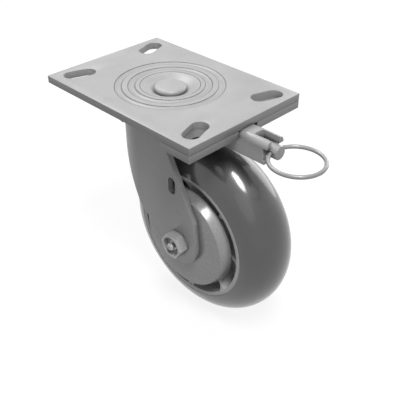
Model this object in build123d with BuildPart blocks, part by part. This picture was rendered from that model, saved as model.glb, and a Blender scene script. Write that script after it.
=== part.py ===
from build123d import *
import os
from math import cos, radians, sin, sqrt

os.makedirs("parts", exist_ok=True)

# Frame: origin at the centre of the plate's top face, on the swivel axis.
# +Z is up, +X runs along the plate to the pull ring, and the wheel trails towards +X.

# Mounting plate, 6-1/4 x 4-1/2 in, with four slots for 1/2 in bolts
PLATE_LENGTH = 158.75
PLATE_WIDTH = 114.3
PLATE_THICK = 6.0
SLOT_INNER = (62.71, 30.96)
SLOT_OUTER = (66.675, 42.86)
SLOT_WIDTH = 13.2

# Ring grooves pressed into the plate, and the dish for the kingpin's head
GROOVES = ((26.8, 32.3), (37.05, 42.5))
GROOVE_DEPTH = 1.1
DISH_RIM = 23.3
DISH_STEP = (19.75, -0.9)
DISH_FLOOR = -4.7
DISH_BULGE = ((23.0, -PLATE_THICK), (13.3, -11.1))

# Kingpin, its nut and the lower race
KINGPIN_HEAD = 12.56
KINGPIN_TOP = -0.6
KINGPIN_CROWN = 2.3
KINGPIN_RADIUS = 7.94
KINGPIN_END = -34.0
LOWER_RACE_TOP = -21.4
LOWER_RACE_THICK = 3.8
LOWER_RACE_RADIUS = 25.0
KINGPIN_NUT_FLATS = 23.8
KINGPIN_NUT_HIGH = 7.8

# Swivel bearing: two rows of balls
RUN = 0.09
UPPER_BALL = 4.7625
UPPER_TRACK = (34.7, -10.4)
UPPER_COUNT = 18
LOWER_BALL = 2.78
LOWER_TRACK = (20.0, -20.18)
LOWER_COUNT = 18

# Fork: round crown on top, notched for the lock pin, and two legs 4.5 mm thick
CROWN_RADIUS = 44.5
CROWN_TOP = -12.5
CROWN_BOTTOM = -18.3
CROWN_BORE = 10.0
NOTCH_FLOOR = 39.8
NOTCH_WIDTH = 10.6
SEAL_RADII = (43.0, 44.4)
SEAL_HIGH = 3.6
FORK_RADIUS = 36.2
FORK_THICK = 4.5
FLARE = 6.6
INNER_FLARE = 4.0
FRONT_EDGE_LOW = (0.0, -91.6)
FRONT_EDGE_TOP = (-37.5, -15.9)
REAR_EDGE_TOP = (25.93, -15.9)
REAR_CORNER = (61.4, -83.0)
FOOT_RADIUS = 19.05
FOOT_LEFT_ANGLE = 201.0
FOOT_RIGHT_ANGLE = 5.0
LEG_SLOT_CENTRE = (38.2, -58.2)
LEG_SLOT_SIZE = (14.4, 7.6)

# Wheel, 6 x 2 in, and its place under the plate
WHEEL_RADIUS = 76.2
TYRE_CROWN = 25.4
LEAD = 44.45
HEIGHT = 184.15
AXLE_Z = WHEEL_RADIUS - HEIGHT
RIM_OUTER = 54.1
RIM_INNER = 50.8
RIM_HALF = 25.18
RIM_KEY = (58.0, 6.0)
WEB_HALF = 7.0
BARREL_RADIUS = 31.0
BARREL_HALF = 21.6
RIB_COUNT = 8
RIB_PHASE = 2.0
RIB_HALF = 1.5
RIB_FLARE = ((45.9, 1.4), (48.8, 2.3), (51.3, 4.6), (51.3, -4.6), (48.8, -2.3), (45.9, -1.4))
RIB_FLARE_HALF = 22.8
RIB_STEP = 44.6

# Axle, sleeve, spacers and wheel bearings
AXLE_RADIUS = 6.35
SLEEVE_BORE = 6.45
SLEEVE_RADIUS = 8.5
RACE_SPAN = (10.0, 22.0)
RACE_OUTER = 20.0
RACE_BALL = 3.4
RACE_PITCH = 14.25
RACE_COUNT = 8
SHOULDER_BORE = 16.5
SPACER_RADIUS = 12.0
HEX_FLATS = 19.05
HEX_CORNER = HEX_FLATS / sqrt(3)
HEAD_SEAT = -36.2
HEAD_FRONT = -45.0
HEAD_RECESS = 7.6
RECESS_FLOOR = -39.8
GREASE_HOLE = 1.6
FITTING_FLATS = 7.94
NIPPLE_RADIUS = 3.3
NUT_SEAT = 38.0
WASHER_RADIUS = 12.7
NUT_HIGH = 8.7
COLLAR_RADIUS = 8.3
COLLAR_TOP = 50.2
INSERT_RADIUS = 7.95
INSERT_FLOOR = 46.9
BOLT_END = 51.8

# Thread guard, pressed from 1.6 mm sheet
GUARD_THICK = 1.6
GUARD_FACE = 40.5
GUARD_SKIRT = (43.3, 23.9)
GUARD_LIP = (43.6, 22.3)

# Lock plate and lock housing
LOCK_PLATE_START = 51.5
LOCK_NOTCH = (62.0, 10.0)
HOUSING_START = 62.5
HOUSING_END = 100.5
HOOD_END = 104.0
HOUSING_HALF = 8.9
HOUSING_SHOULDER = 4.5
HOUSING_BOTTOM = -20.9
HOOD_BOTTOM = -11.0
BASE_END = 102.7
BASE_HALF = 9.4
BASE_BOTTOM = -23.0
LOCK_SLOT_START = 88.8
LOCK_SLOT_HALF = 4.45
SPRING_ROOM = (65.0, 86.8)
SPRING_ROOM_RADIUS = 6.8

# Lock pin and pull ring
PIN_Z = -15.1
PIN_RADIUS = 5.1
PIN_BORE = 5.18
PIN_TIP = 54.2
PIN_END = 108.9
PIN_RELIEF = 5.6
CLIP_START = 79.2
CLIP_THICK = 1.0
CLIP_RADIUS = 6.5
WASHER_THICK = 1.0
SPRING_WIRE = 0.4
SPRING_TURNS = 3.5
RING_RADIUS = 19.4
RING_WIRE = 1.5
RING_HOLE = 1.9
RING_HOLE_X = 104.1

PLATE_BOTTOM = -PLATE_THICK
CLAMP_HALF = FORK_RADIUS - FORK_THICK
RING_SAG = RING_RADIUS - sqrt(RING_RADIUS**2 - PIN_RADIUS**2)
SWIVEL = Axis((0, 0, 0), (0, 0, 1))
AXLE = Axis((LEAD, 0, AXLE_Z), (0, 1, 0))
PIN_AXIS = Axis((0, 0, PIN_Z), (1, 0, 0))

# In this plane the first number is the radius from the axle and the second is Y.
WHEEL_SECTION = Plane(origin=(LEAD, 0, AXLE_Z), x_dir=(1, 0, 0), z_dir=(0, 0, 1))
# The wheel seen from the near side, centred on the axle
WHEEL_SIDE = Plane(origin=(LEAD, 0, AXLE_Z), x_dir=(1, 0, 0), z_dir=(0, -1, 0))
# In this plane the first number is X and the second is the radius from the pin.
PIN_SECTION = Plane(origin=(0, 0, PIN_Z), x_dir=(1, 0, 0), z_dir=(0, -1, 0))


def axle_plane(y, outward=1):
    """Plane across the axle at the given Y, facing +Y or -Y."""
    return Plane(origin=(LEAD, y, AXLE_Z), x_dir=(1, 0, 0), z_dir=(0, outward, 0))


def half_moon(inner, outer, level, depth):
    """Section of a pressed ring groove, hanging below a level."""
    with BuildLine() as groove:
        ThreePointArc((inner, level), ((inner + outer) / 2, level - depth), (outer, level))
        Line((outer, level), (inner, level))
    make_face(groove.edges())


def ring_section(inner, outer, low, high):
    """Rectangle between two radii and two heights, to be revolved."""
    with Locations(((inner + outer) / 2, (low + high) / 2)):
        Rectangle(outer - inner, high - low)


def bolt_slots(sides):
    """Angled bolt slots at the plate's corners on the given X sides."""
    centre_x = (SLOT_INNER[0] + SLOT_OUTER[0]) / 2
    centre_y = (SLOT_INNER[1] + SLOT_OUTER[1]) / 2
    run = Vector(SLOT_OUTER[0] - SLOT_INNER[0], SLOT_OUTER[1] - SLOT_INNER[1])
    lean = Vector(1, 0).get_angle(run)
    for side_x in sides:
        for side_y in (1, -1):
            with Locations((side_x * centre_x, side_y * centre_y)):
                SlotCenterToCenter(run.length, SLOT_WIDTH, rotation=side_x * side_y * lean)


# Top plate: flat bar with the raceway grooves and the kingpin's dish pressed in
with BuildPart() as top_plate:
    with BuildSketch():
        Rectangle(PLATE_LENGTH, PLATE_WIDTH)
    extrude(amount=-PLATE_THICK)
    with BuildSketch(Plane.XZ):
        for inner, outer in GROOVES:
            half_moon(inner, outer, PLATE_BOTTOM, GROOVE_DEPTH)
        with BuildLine():
            Polyline((0, PLATE_BOTTOM + 1), (DISH_BULGE[0][0], PLATE_BOTTOM + 1), *DISH_BULGE,
                     (0, DISH_BULGE[1][1]), close=True)
        make_face()
    revolve(axis=SWIVEL)
    with BuildSketch(Plane.XZ):
        for inner, outer in GROOVES:
            half_moon(inner, outer, 0, GROOVE_DEPTH)
        with BuildLine():
            Line((0, 0), (DISH_RIM, 0))
            ThreePointArc((DISH_RIM, 0), (21.6, -0.22), DISH_STEP)
            Polyline(DISH_STEP, (KINGPIN_HEAD, DISH_FLOOR), (0, DISH_FLOOR), (0, 0))
        make_face()
    revolve(axis=SWIVEL, mode=Mode.SUBTRACT)
    with BuildSketch(Plane.XZ):
        with Locations(UPPER_TRACK):
            Circle(UPPER_BALL + RUN)
    revolve(axis=SWIVEL, mode=Mode.SUBTRACT)
    with BuildSketch():
        bolt_slots((1, -1))
        Circle(KINGPIN_RADIUS)
    extrude(amount=-20, mode=Mode.SUBTRACT)
top_plate.part.label = "top_plate"

# Kingpin: round head in the dish, plain shank, chamfered end
with BuildPart() as kingpin:
    with BuildSketch(Plane.XZ):
        ring_section(0, KINGPIN_HEAD, DISH_FLOOR, KINGPIN_TOP)
        ring_section(0, KINGPIN_RADIUS, KINGPIN_END, DISH_FLOOR)
    revolve(axis=SWIVEL)
    fillet(edges().group_by(Axis.Z)[-1], KINGPIN_CROWN)
    chamfer(edges().group_by(Axis.Z)[0], 1.2)
kingpin.part.label = "kingpin"

# Lower race: thick washer with the lower ball track
with BuildPart() as lower_race:
    with BuildSketch(Plane.XZ):
        ring_section(KINGPIN_RADIUS, LOWER_RACE_RADIUS, LOWER_RACE_TOP - LOWER_RACE_THICK,
                     LOWER_RACE_TOP)
        with Locations(LOWER_TRACK):
            Circle(LOWER_BALL + RUN, mode=Mode.SUBTRACT)
    revolve(axis=SWIVEL)
    chamfer(edges().group_by(Axis.Z)[0].sort_by(SortBy.LENGTH)[-1], 1.0)
lower_race.part.label = "lower_race"

# Kingpin nut: thin hexagon nut, its corners turned off below
with BuildPart() as kingpin_nut:
    with BuildSketch(Plane.XY.offset(LOWER_RACE_TOP - LOWER_RACE_THICK)):
        RegularPolygon(KINGPIN_NUT_FLATS / 2, 6, major_radius=False)
        Circle(KINGPIN_RADIUS, mode=Mode.SUBTRACT)
    extrude(amount=-KINGPIN_NUT_HIGH)
kingpin_nut.part.label = "kingpin_nut"

# Balls of the swivel bearing
with BuildPart() as upper_balls:
    with Locations((0, 0, UPPER_TRACK[1])):
        with PolarLocations(UPPER_TRACK[0], UPPER_COUNT):
            Sphere(UPPER_BALL)
upper_balls.part.label = "upper_balls"

with BuildPart() as lower_balls:
    with Locations((0, 0, LOWER_TRACK[1])):
        with PolarLocations(LOWER_TRACK[0], LOWER_COUNT):
            Sphere(LOWER_BALL)
lower_balls.part.label = "lower_balls"

# Outline that the fork's side is cut to, from the crown down to the round foot
foot_left = (LEAD + FOOT_RADIUS * cos(radians(FOOT_LEFT_ANGLE)),
             AXLE_Z + FOOT_RADIUS * sin(radians(FOOT_LEFT_ANGLE)))
foot_low = (LEAD, AXLE_Z - FOOT_RADIUS)
foot_right = (LEAD + FOOT_RADIUS * cos(radians(FOOT_RIGHT_ANGLE)),
              AXLE_Z + FOOT_RADIUS * sin(radians(FOOT_RIGHT_ANGLE)))
with BuildPart() as fork_side:
    with BuildSketch(Plane.XZ):
        with BuildLine():
            Polyline(foot_right, REAR_CORNER, REAR_EDGE_TOP, FRONT_EDGE_TOP, FRONT_EDGE_LOW, foot_left)
            ThreePointArc(foot_left, foot_low, foot_right)
        make_face()
    extrude(amount=50, both=True)

# Room that the flare may fill: under the crown, or straight above the walls
with BuildPart() as flare_room:
    with BuildSketch(Plane.XY.offset(CROWN_BOTTOM)):
        Circle(FORK_RADIUS)
        Rectangle(80, 2 * FORK_RADIUS, align=(Align.MIN, Align.CENTER))
    extrude(amount=-120)
    with BuildSketch(Plane.XY.offset(CROWN_BOTTOM)):
        Circle(CROWN_RADIUS)
    extrude(amount=-FLARE)

# Room between the fork's walls, for the wheel
with BuildPart() as fork_room:
    with BuildSketch(Plane.XY.offset(CROWN_BOTTOM)):
        Circle(CLAMP_HALF)
        Rectangle(90, 2 * CLAMP_HALF, align=(Align.MIN, Align.CENTER))
    extrude(amount=-120)
    fillet(edges().group_by(Axis.Z)[-1], INNER_FLARE)

# Fork: a forging, with two flat legs that join in a half-round front under a round crown
with BuildPart() as fork:
    with BuildSketch(Plane.XY.offset(CROWN_BOTTOM)):
        Circle(FORK_RADIUS)
        Rectangle(80, 2 * FORK_RADIUS, align=(Align.MIN, Align.CENTER))
    extrude(amount=-120)
    with BuildSketch(Plane.XY.offset(CROWN_BOTTOM)):
        Rectangle(280, 140)
    extrude(amount=CROWN_TOP - CROWN_BOTTOM)
    wall_joint = edges().filter_by(lambda edge: abs(edge.center().Z - CROWN_BOTTOM) < 0.01
                                   and abs(edge.center().Y) < 50 and abs(edge.center().X) < 60)
    fillet(wall_joint, FLARE)
    add(flare_room.part, mode=Mode.INTERSECT)
    add(fork_side.part, mode=Mode.INTERSECT)
    add(fork_room.part, mode=Mode.SUBTRACT)
    with BuildSketch(Plane.XY.offset(CROWN_TOP)):
        Circle(CROWN_RADIUS)
    extrude(amount=CROWN_BOTTOM - CROWN_TOP)
    with BuildSketch(Plane.XY.offset(CROWN_TOP)):
        Circle(CROWN_BORE)
        with PolarLocations((NOTCH_FLOOR + CROWN_RADIUS + 2) / 2, 4):
            Rectangle(CROWN_RADIUS + 2 - NOTCH_FLOOR, NOTCH_WIDTH)
    extrude(amount=CROWN_BOTTOM - CROWN_TOP, mode=Mode.SUBTRACT)
    with BuildSketch(Plane.XZ):
        with Locations(UPPER_TRACK):
            Circle(UPPER_BALL)
        with Locations(LOWER_TRACK):
            Circle(LOWER_BALL)
    revolve(axis=SWIVEL, mode=Mode.SUBTRACT)
    with BuildSketch(Plane.XZ):
        with Locations((LEAD, AXLE_Z)):
            Circle(AXLE_RADIUS + 0.1)
        with Locations(LEG_SLOT_CENTRE):
            SlotOverall(*LEG_SLOT_SIZE, rotation=90)
    extrude(amount=50, both=True, mode=Mode.SUBTRACT)
fork.part.label = "fork"

# Seal ring under the plate, round the upper balls
with BuildPart() as race_seal:
    with BuildSketch(Plane.XZ):
        ring_section(*SEAL_RADII, PLATE_BOTTOM - SEAL_HIGH, PLATE_BOTTOM)
    revolve(axis=SWIVEL)
race_seal.part.label = "race_seal"

# Wheel core: rim, web and barrel turned as one, with ribs on both sides of the web
with BuildPart() as wheel_core:
    with BuildSketch(WHEEL_SECTION):
        ring_section(RIM_INNER, RIM_OUTER, -RIM_HALF, RIM_HALF)
        ring_section(RIM_INNER, RIM_KEY[0], -RIM_KEY[1], RIM_KEY[1])
        ring_section(SHOULDER_BORE, RIM_INNER + 1, -WEB_HALF, WEB_HALF)
        ring_section(SHOULDER_BORE, BARREL_RADIUS, -RACE_SPAN[0], RACE_SPAN[0])
        ring_section(RACE_OUTER, BARREL_RADIUS, -BARREL_HALF, BARREL_HALF)
    revolve(axis=AXLE)
    for number in range(RIB_COUNT):
        lean = radians(RIB_PHASE + number * 360 / RIB_COUNT)
        rib_plane = Plane(origin=(LEAD, 0, AXLE_Z), x_dir=(cos(lean), 0, sin(lean)),
                          z_dir=(-sin(lean), 0, cos(lean)))
        with BuildSketch(rib_plane):
            with BuildLine():
                Polyline((BARREL_RADIUS - 1, -BARREL_HALF), (RIB_STEP, -BARREL_HALF),
                         (RIM_INNER + 1, -RIM_HALF), (RIM_INNER + 1, RIM_HALF),
                         (RIB_STEP, BARREL_HALF), (BARREL_RADIUS - 1, BARREL_HALF), close=True)
            make_face()
        extrude(amount=RIB_HALF, both=True)
    with BuildSketch(WHEEL_SIDE):
        with PolarLocations(0, RIB_COUNT, start_angle=RIB_PHASE):
            Polygon(*RIB_FLARE, align=None)
    extrude(amount=RIB_FLARE_HALF, both=True)
wheel_core.part.label = "wheel_core"

# Tyre: round crown, keyed on the rim
with BuildPart() as tyre:
    with BuildSketch(WHEEL_SECTION):
        with BuildLine():
            Polyline((RIM_OUTER, -RIM_HALF), (RIM_OUTER, -RIM_KEY[1]), (RIM_KEY[0], -RIM_KEY[1]),
                     RIM_KEY, (RIM_OUTER, RIM_KEY[1]), (RIM_OUTER, RIM_HALF))
            ThreePointArc((RIM_OUTER, RIM_HALF), (WHEEL_RADIUS, 0), (RIM_OUTER, -RIM_HALF))
        make_face()
    revolve(axis=AXLE)
tyre.part.label = "tyre"

# Wheel bearings, their spacers and the thread guards, once for each side
for side, name in ((-1, "near"), (1, "far")):
    low, high = RACE_SPAN
    middle = side * (low + high) / 2
    with BuildPart() as outer_race:
        with BuildSketch(WHEEL_SECTION):
            ring_section(RACE_PITCH + 2.3, RACE_OUTER, side * high, side * low)
            with Locations((RACE_PITCH, middle)):
                Circle(RACE_BALL, mode=Mode.SUBTRACT)
        revolve(axis=AXLE)
    outer_race.part.label = "outer_race_" + name
    export_step(outer_race.part, "parts/outer_race_" + name + ".step")

    with BuildPart() as inner_race:
        with BuildSketch(WHEEL_SECTION):
            ring_section(SLEEVE_RADIUS, RACE_PITCH - 2.3, side * high, side * low)
            with Locations((RACE_PITCH, middle)):
                Circle(RACE_BALL + RUN, mode=Mode.SUBTRACT)
        revolve(axis=AXLE)
    inner_race.part.label = "inner_race_" + name
    export_step(inner_race.part, "parts/inner_race_" + name + ".step")

    with BuildPart(axle_plane(middle)) as bearing_balls:
        with PolarLocations(RACE_PITCH, RACE_COUNT):
            Sphere(RACE_BALL)
    bearing_balls.part.label = "bearing_balls_" + name
    export_step(bearing_balls.part, "parts/bearing_balls_" + name + ".step")

    with BuildPart() as end_spacer:
        with BuildSketch(WHEEL_SECTION):
            ring_section(SLEEVE_RADIUS, SPACER_RADIUS, side * (CLAMP_HALF - GUARD_THICK), side * high)
        revolve(axis=AXLE)
    end_spacer.part.label = "end_spacer_" + name
    export_step(end_spacer.part, "parts/end_spacer_" + name + ".step")

    with BuildPart() as guard:
        with BuildSketch(WHEEL_SECTION):
            inside = side * (CLAMP_HALF - GUARD_THICK)
            with BuildLine():
                Polyline((SLEEVE_RADIUS, side * CLAMP_HALF), (GUARD_FACE, side * CLAMP_HALF),
                         (GUARD_SKIRT[0], side * GUARD_SKIRT[1]), (GUARD_LIP[0], side * GUARD_LIP[1]),
                         (GUARD_LIP[0] - GUARD_THICK, side * GUARD_LIP[1]),
                         (GUARD_SKIRT[0] - GUARD_THICK, side * GUARD_SKIRT[1]),
                         (GUARD_FACE - GUARD_THICK, inside), (SLEEVE_RADIUS, inside), close=True)
            make_face()
        revolve(axis=AXLE)
    guard.part.label = "guard_" + name
    export_step(guard.part, "parts/guard_" + name + ".step")

# Spacer between the inner races, and the sleeve that runs through them
with BuildPart() as bearing_spacer:
    with BuildSketch(WHEEL_SECTION):
        ring_section(SLEEVE_RADIUS, RACE_PITCH - 2.6, -RACE_SPAN[0], RACE_SPAN[0])
    revolve(axis=AXLE)
bearing_spacer.part.label = "bearing_spacer"

with BuildPart() as axle_sleeve:
    with BuildSketch(WHEEL_SECTION):
        ring_section(SLEEVE_BORE, SLEEVE_RADIUS, -CLAMP_HALF, CLAMP_HALF)
    revolve(axis=AXLE)
axle_sleeve.part.label = "axle_sleeve"

# Axle bolt: head on the near leg, hollowed for the grease fitting and drilled to it
with BuildPart() as head_turning:
    with BuildSketch(WHEEL_SECTION):
        with BuildLine():
            Polyline((0, HEAD_SEAT), (HEX_CORNER, HEAD_SEAT), (HEX_CORNER, HEAD_FRONT + 0.8),
                     (HEX_FLATS / 2, HEAD_FRONT), (HEAD_RECESS, HEAD_FRONT), (HEAD_RECESS, RECESS_FLOOR),
                     (0, RECESS_FLOOR), close=True)
        make_face()
    revolve(axis=AXLE)
with BuildPart() as axle_bolt:
    with BuildSketch(axle_plane(HEAD_SEAT, -1)):
        RegularPolygon(HEX_FLATS / 2, 6, major_radius=False)
    extrude(amount=HEAD_SEAT - HEAD_FRONT)
    add(head_turning.part, mode=Mode.INTERSECT)
    with BuildSketch(axle_plane(HEAD_SEAT)):
        Circle(AXLE_RADIUS)
    extrude(amount=BOLT_END - HEAD_SEAT)
    chamfer(faces().sort_by(Axis.Y)[-1].edges(), 0.9)
    with BuildSketch(axle_plane(RECESS_FLOOR)):
        Circle(GREASE_HOLE)
    extrude(amount=-RECESS_FLOOR, mode=Mode.SUBTRACT)
axle_bolt.part.label = "axle_bolt"

# Grease fitting: hexagon foot, neck and ball-shaped nipple
with BuildPart() as grease_fitting:
    with BuildSketch(WHEEL_SECTION):
        with BuildLine():
            Polyline((0, RECESS_FLOOR), (GREASE_HOLE, RECESS_FLOOR), (GREASE_HOLE, RECESS_FLOOR - 3.0),
                     (2.4, RECESS_FLOOR - 3.6))
            ThreePointArc((2.4, RECESS_FLOOR - 3.6), (NIPPLE_RADIUS, RECESS_FLOOR - 5.2),
                          (1.5, RECESS_FLOOR - 7.0))
            Polyline((1.5, RECESS_FLOOR - 7.0), (0, RECESS_FLOOR - 7.0), (0, RECESS_FLOOR))
        make_face()
    revolve(axis=AXLE)
    with BuildSketch(axle_plane(RECESS_FLOOR, -1)):
        RegularPolygon(FITTING_FLATS / 2, 6, major_radius=False)
    extrude(amount=2.4)
grease_fitting.part.label = "grease_fitting"

# Washer under the axle nut
with BuildPart() as axle_washer:
    with BuildSketch(WHEEL_SECTION):
        ring_section(AXLE_RADIUS + 0.4, WASHER_RADIUS, FORK_RADIUS, NUT_SEAT)
    revolve(axis=AXLE)
axle_washer.part.label = "axle_washer"

# Axle nut: hexagon with a rolled collar that holds the nylon ring
with BuildPart() as nut_blank:
    with BuildSketch(WHEEL_SECTION):
        with BuildLine():
            Polyline((AXLE_RADIUS, NUT_SEAT), (HEX_CORNER - 0.8, NUT_SEAT), (HEX_CORNER, NUT_SEAT + 0.5),
                     (HEX_CORNER, NUT_SEAT + NUT_HIGH - 0.9), (8.8, NUT_SEAT + NUT_HIGH),
                     (COLLAR_RADIUS, NUT_SEAT + NUT_HIGH), (COLLAR_RADIUS, COLLAR_TOP - 1.5))
            ThreePointArc((COLLAR_RADIUS, COLLAR_TOP - 1.5), (COLLAR_RADIUS - 0.44, COLLAR_TOP - 0.44),
                          (COLLAR_RADIUS - 1.5, COLLAR_TOP))
            Polyline((COLLAR_RADIUS - 1.5, COLLAR_TOP), (COLLAR_RADIUS - 1.5, COLLAR_TOP - 0.7),
                     (INSERT_RADIUS, COLLAR_TOP - 0.7), (INSERT_RADIUS, INSERT_FLOOR),
                     (AXLE_RADIUS, INSERT_FLOOR), (AXLE_RADIUS, NUT_SEAT))
        make_face()
    revolve(axis=AXLE)
with BuildPart() as axle_nut:
    with BuildSketch(axle_plane(NUT_SEAT)):
        RegularPolygon(HEX_FLATS / 2, 6, major_radius=False)
    extrude(amount=COLLAR_TOP - NUT_SEAT)
    add(nut_blank.part, mode=Mode.INTERSECT)
axle_nut.part.label = "axle_nut"

# Nylon ring in the nut's collar
with BuildPart() as nut_insert:
    with BuildSketch(WHEEL_SECTION):
        ring_section(AXLE_RADIUS, INSERT_RADIUS, INSERT_FLOOR, COLLAR_TOP - 0.7)
    revolve(axis=AXLE)
nut_insert.part.label = "nut_insert"

# Lock plate: short plate under the ring end, notched for the housing and grooved for the pin
with BuildPart() as lock_plate:
    with BuildSketch(Plane.XY.offset(PLATE_BOTTOM)):
        with Locations((LOCK_PLATE_START, 0)):
            Rectangle(PLATE_LENGTH / 2 - LOCK_PLATE_START, PLATE_WIDTH, align=(Align.MIN, Align.CENTER))
        with Locations((LOCK_NOTCH[0], 0)):
            Rectangle(40, 2 * LOCK_NOTCH[1], align=(Align.MIN, Align.CENTER), mode=Mode.SUBTRACT)
    extrude(amount=-PLATE_THICK)
    with BuildSketch(Plane.XY.offset(PLATE_BOTTOM)):
        bolt_slots((1,))
    extrude(amount=-PLATE_THICK, mode=Mode.SUBTRACT)
    with BuildSketch(Plane.YZ.offset(LOCK_PLATE_START)):
        with Locations((0, PIN_Z)):
            Circle(PIN_RELIEF)
    extrude(amount=LOCK_NOTCH[0] - LOCK_PLATE_START + 1, mode=Mode.SUBTRACT)
lock_plate.part.label = "lock_plate"

# Lock housing: casting with round shoulders, slotted at its outer end for the ring
with BuildPart() as lock_housing:
    with BuildSketch(Plane.YZ.offset(HOUSING_START)):
        with Locations((0, (PLATE_BOTTOM + HOUSING_BOTTOM) / 2)):
            Rectangle(2 * HOUSING_HALF, PLATE_BOTTOM - HOUSING_BOTTOM)
        fillet(vertices().group_by(Axis.Y)[-1], HOUSING_SHOULDER)
    extrude(amount=HOUSING_END - HOUSING_START)
    with BuildSketch(Plane.YZ.offset(HOUSING_END)):
        with Locations((0, (PLATE_BOTTOM + HOOD_BOTTOM) / 2)):
            Rectangle(2 * HOUSING_HALF, PLATE_BOTTOM - HOOD_BOTTOM)
        fillet(vertices().group_by(Axis.Y)[-1], HOUSING_SHOULDER)
    extrude(amount=HOOD_END - HOUSING_END)
    with BuildSketch(Plane.YZ.offset(HOUSING_START)):
        with BuildLine():
            Polyline((-HOUSING_HALF, HOUSING_BOTTOM), (HOUSING_HALF, HOUSING_BOTTOM),
                     (BASE_HALF, BASE_BOTTOM), (-BASE_HALF, BASE_BOTTOM), close=True)
        make_face()
    extrude(amount=BASE_END - HOUSING_START)
    with BuildSketch(Plane.YZ.offset(LOCK_SLOT_START)):
        Rectangle(2 * LOCK_SLOT_HALF, 100)
    extrude(amount=40, mode=Mode.SUBTRACT)
    with BuildSketch(PIN_SECTION):
        with BuildLine():
            Polyline((0, 0), (0, SPRING_ROOM_RADIUS), (SPRING_ROOM[1], SPRING_ROOM_RADIUS),
                     (SPRING_ROOM[1], PIN_BORE), (HOOD_END + 5, PIN_BORE), (HOOD_END + 5, 0), close=True)
        make_face()
    revolve(axis=PIN_AXIS, mode=Mode.SUBTRACT)
lock_housing.part.label = "lock_housing"

# Guide bush in the housing's inner end
with BuildPart() as pin_bush:
    with BuildSketch(PIN_SECTION):
        with Locations(((HOUSING_START + SPRING_ROOM[0]) / 2, (PIN_BORE + SPRING_ROOM_RADIUS) / 2)):
            Rectangle(SPRING_ROOM[0] - HOUSING_START, SPRING_ROOM_RADIUS - PIN_BORE)
    revolve(axis=PIN_AXIS)
pin_bush.part.label = "pin_bush"

# Lock pin: plain rod with a chamfered tip, a groove for the clip and a cross hole
with BuildPart() as lock_pin:
    with BuildSketch(PIN_SECTION):
        with BuildLine():
            Polyline((PIN_TIP, 0), (PIN_TIP, PIN_RADIUS - 1.2), (PIN_TIP + 1.2, PIN_RADIUS),
                     (CLIP_START, PIN_RADIUS), (CLIP_START, PIN_RADIUS - 0.7),
                     (CLIP_START + CLIP_THICK, PIN_RADIUS - 0.7), (CLIP_START + CLIP_THICK, PIN_RADIUS),
                     (PIN_END, PIN_RADIUS), (PIN_END, 0), close=True)
        make_face()
    revolve(axis=PIN_AXIS)
    with BuildSketch(Plane.XZ):
        with Locations((RING_HOLE_X, PIN_Z)):
            Circle(RING_HOLE)
    extrude(amount=20, both=True, mode=Mode.SUBTRACT)
lock_pin.part.label = "lock_pin"

# Clip in the pin's groove, and the loose washer that the spring bears on
with BuildPart() as pin_clip:
    with BuildSketch(PIN_SECTION):
        with Locations((CLIP_START + CLIP_THICK / 2, (CLIP_RADIUS + PIN_RADIUS - 0.7) / 2)):
            Rectangle(CLIP_THICK, CLIP_RADIUS - PIN_RADIUS + 0.7)
    revolve(axis=PIN_AXIS)
pin_clip.part.label = "pin_clip"

with BuildPart() as spring_washer:
    with BuildSketch(PIN_SECTION):
        with Locations((CLIP_START + CLIP_THICK + WASHER_THICK / 2, (CLIP_RADIUS + PIN_BORE) / 2)):
            Rectangle(WASHER_THICK, CLIP_RADIUS - PIN_BORE)
    revolve(axis=PIN_AXIS)
spring_washer.part.label = "spring_washer"

# Spring round the pin, between the washer and the end of its room
coil_start = CLIP_START + CLIP_THICK + WASHER_THICK + SPRING_WIRE
coil_length = SPRING_ROOM[1] - SPRING_WIRE - coil_start
with BuildPart() as lock_spring:
    with BuildLine() as coil:
        Helix(coil_length / SPRING_TURNS, coil_length, (PIN_BORE + SPRING_ROOM_RADIUS) / 2,
              center=(coil_start, 0, PIN_Z), direction=(1, 0, 0))
    with BuildSketch(Plane(origin=coil.line @ 0, z_dir=coil.line % 0)):
        Circle(SPRING_WIRE)
    sweep()
lock_spring.part.label = "lock_spring"

# Pull ring: closed ring of round wire through the pin's cross hole
with BuildPart() as pull_ring:
    with Locations((RING_HOLE_X - RING_SAG / 2 + RING_RADIUS, 0, PIN_Z)):
        Torus(RING_RADIUS, RING_WIRE)
pull_ring.part.label = "pull_ring"

export_step(top_plate.part, "parts/top_plate.step")
export_step(kingpin.part, "parts/kingpin.step")
export_step(lower_race.part, "parts/lower_race.step")
export_step(kingpin_nut.part, "parts/kingpin_nut.step")
export_step(upper_balls.part, "parts/upper_balls.step")
export_step(lower_balls.part, "parts/lower_balls.step")
export_step(fork.part, "parts/fork.step")
export_step(race_seal.part, "parts/race_seal.step")
export_step(wheel_core.part, "parts/wheel_core.step")
export_step(tyre.part, "parts/tyre.step")
export_step(bearing_spacer.part, "parts/bearing_spacer.step")
export_step(axle_sleeve.part, "parts/axle_sleeve.step")
export_step(axle_bolt.part, "parts/axle_bolt.step")
export_step(grease_fitting.part, "parts/grease_fitting.step")
export_step(axle_washer.part, "parts/axle_washer.step")
export_step(axle_nut.part, "parts/axle_nut.step")
export_step(nut_insert.part, "parts/nut_insert.step")
export_step(lock_plate.part, "parts/lock_plate.step")
export_step(lock_housing.part, "parts/lock_housing.step")
export_step(pin_bush.part, "parts/pin_bush.step")
export_step(lock_pin.part, "parts/lock_pin.step")
export_step(pin_clip.part, "parts/pin_clip.step")
export_step(spring_washer.part, "parts/spring_washer.step")
export_step(lock_spring.part, "parts/lock_spring.step")
export_step(pull_ring.part, "parts/pull_ring.step")
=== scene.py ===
from math import acos, cos, pi, radians, sin, sqrt

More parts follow.
